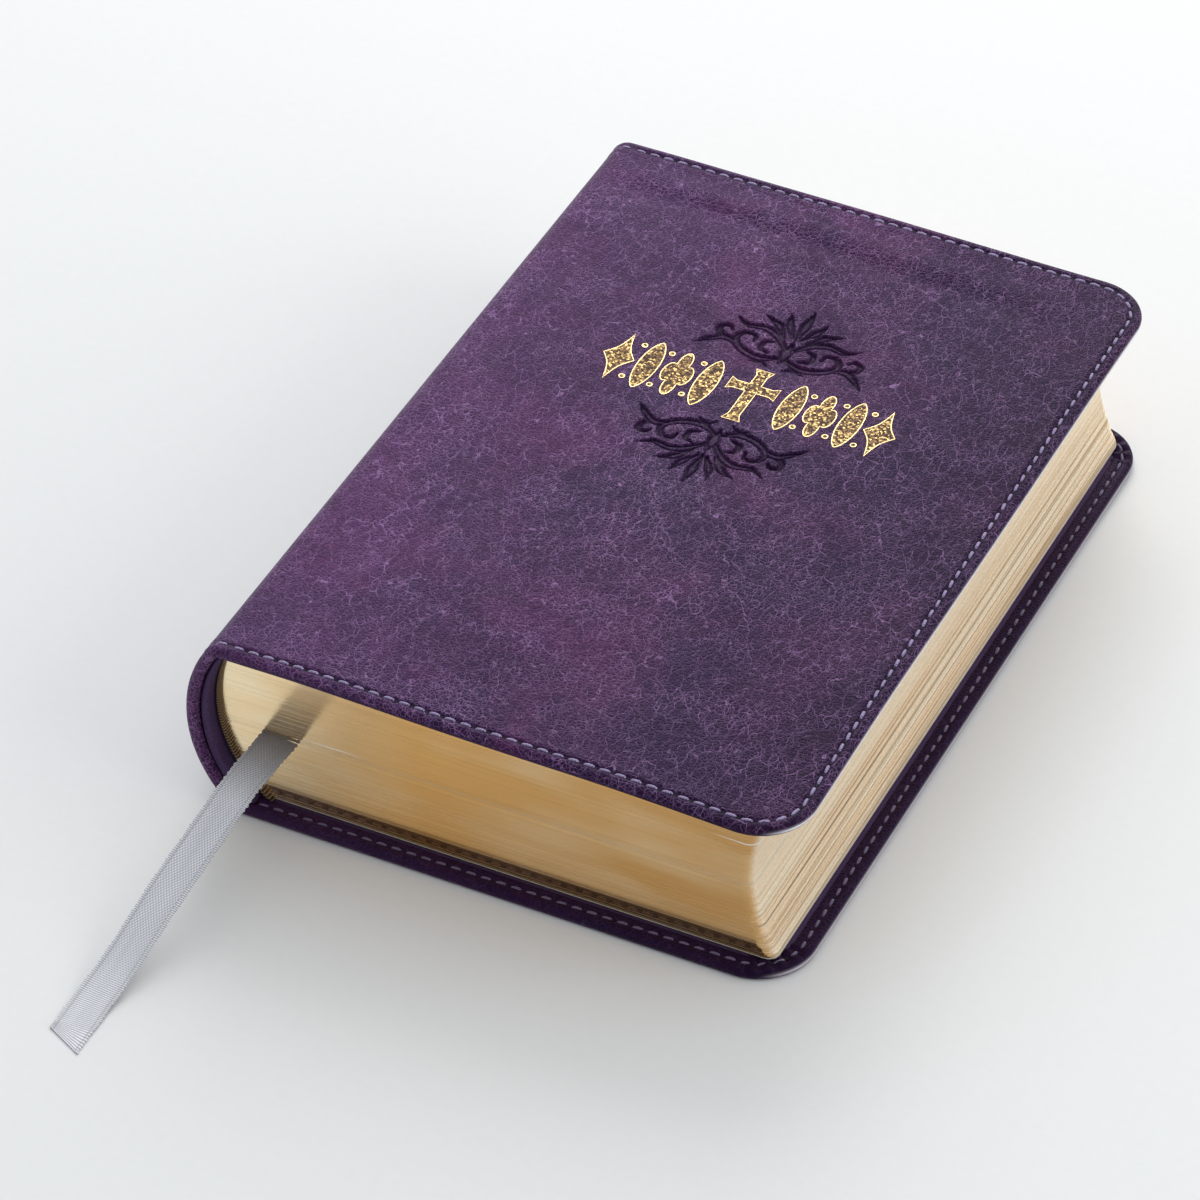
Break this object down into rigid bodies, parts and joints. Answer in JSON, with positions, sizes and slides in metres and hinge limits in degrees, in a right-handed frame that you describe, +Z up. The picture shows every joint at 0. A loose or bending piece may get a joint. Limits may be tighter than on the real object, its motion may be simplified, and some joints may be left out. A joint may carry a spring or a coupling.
{
  "type": "bible",
  "caption": "Closed flexible-cover Bible with gilt page edges, edge stitching, foil ornament and a ribbon marker; it opens at the front cover and in the middle.",
  "frame": {"origin": "centre of the bottom of the closed book, on the surface it lies on, measured without the free end of the ribbon", "axes": "+X from the spine to the fore edge, +Y from the tail to the head, +Z up from the back cover to the front cover"},
  "size_m": [0.119, 0.2316, 0.038],
  "materials": {
    "cover_leather": "pebble-grained purple imitation leather, satin with lighter pull-up veins",
    "inner_lining": "matt purple lining",
    "stiffener_board": "matt grey board",
    "mull": "open-weave cotton mull, glued",
    "end_band": "dark brown band with slanting gold threads",
    "stitching": "lavender polyester thread",
    "gilt_pages": "thin Bible paper with burnished gilt edges",
    "leaf_paper": "cream Bible paper with gilt edges",
    "ribbon_satin": "silver-grey satin with woven selvedges",
    "gold_foil": "stamped antique-gold foil, slightly crackled"
  },
  "bodies": {
    "rear_half": {"back_cover_leather": "cover_leather", "back_cover_stiffener": "stiffener_board", "back_cover_lining": "inner_lining", "back_cover_stitching": "stitching", "spine_leather_rear": "cover_leather", "spine_lining_rear": "inner_lining", "spine_mull_rear": "mull", "tail_band_rear": "end_band", "head_band_rear": "end_band", "back_flyleaf": "leaf_paper", "signature_09": "gilt_pages", "signature_10": "gilt_pages", "signature_11": "gilt_pages", "signature_12": "gilt_pages", "signature_13": "gilt_pages", "signature_14": "gilt_pages", "signature_15": "gilt_pages", "signature_16": "gilt_pages", "ribbon_inside": "ribbon_satin", "ribbon_tail": "ribbon_satin"},
    "front_half": {"spine_leather_front": "cover_leather", "spine_lining_front": "inner_lining", "spine_mull_front": "mull", "tail_band_front": "end_band", "head_band_front": "end_band", "signature_01": "gilt_pages", "signature_02": "gilt_pages", "signature_03": "gilt_pages", "signature_04": "gilt_pages", "signature_05": "gilt_pages", "signature_06": "gilt_pages", "signature_07": "gilt_pages", "signature_08": "gilt_pages"},
    "front_cover": {"front_cover_leather": "cover_leather", "front_cover_stiffener": "stiffener_board", "front_cover_lining": "inner_lining", "front_cover_stitching": "stitching", "foil_cross": "gold_foil", "foil_bar_left": "gold_foil", "foil_bar_right": "gold_foil"},
    "front_flyleaf": {"front_flyleaf": "leaf_paper"},
    "reading_leaf_1": {"reading_leaf_1": "leaf_paper"},
    "reading_leaf_2": {"reading_leaf_2": "leaf_paper"},
    "reading_leaf_3": {"reading_leaf_3": "leaf_paper"},
    "reading_leaf_4": {"reading_leaf_4": "leaf_paper"}
  },
  "joints": [
    {"name": "middle_opening", "type": "hinge", "parent": "rear_half", "child": "front_half", "pos_m": [-0.0598, 0, 0.019], "axis": [0, 1, 0], "range_deg": [-179.5, 0]},
    {"name": "front_cover_hinge", "type": "hinge", "parent": "front_half", "child": "front_cover", "pos_m": [-0.05192, 0, 0.0382], "axis": [0, -1, 0], "range_deg": [0, 179.5]},
    {"name": "front_flyleaf_turn", "type": "hinge", "parent": "front_half", "child": "front_flyleaf", "pos_m": [-0.0491, 0, 0.03535], "axis": [0, -1, 0], "range_deg": [0, 90]},
    {"name": "reading_leaf_1_turn", "type": "hinge", "parent": "rear_half", "child": "reading_leaf_1", "pos_m": [-0.0598, 0, 0.019], "axis": [0, 1, 0], "range_deg": [-143.6, 0]},
    {"name": "reading_leaf_2_turn", "type": "hinge", "parent": "rear_half", "child": "reading_leaf_2", "pos_m": [-0.0598, 0, 0.019], "axis": [0, 1, 0], "range_deg": [-107.7, 0]},
    {"name": "reading_leaf_3_turn", "type": "hinge", "parent": "rear_half", "child": "reading_leaf_3", "pos_m": [-0.0598, 0, 0.019], "axis": [0, 1, 0], "range_deg": [-71.8, 0]},
    {"name": "reading_leaf_4_turn", "type": "hinge", "parent": "rear_half", "child": "reading_leaf_4", "pos_m": [-0.0598, 0, 0.019], "axis": [0, 1, 0], "range_deg": [-35.9, 0]}
  ],
  "couplings": [
    {"joint": "front_flyleaf_turn", "follows": "front_cover_hinge", "ratio": 0.5},
    {"joint": "reading_leaf_1_turn", "follows": "middle_opening", "ratio": 0.8},
    {"joint": "reading_leaf_2_turn", "follows": "middle_opening", "ratio": 0.6},
    {"joint": "reading_leaf_3_turn", "follows": "middle_opening", "ratio": 0.4},
    {"joint": "reading_leaf_4_turn", "follows": "middle_opening", "ratio": 0.2}
  ]
}
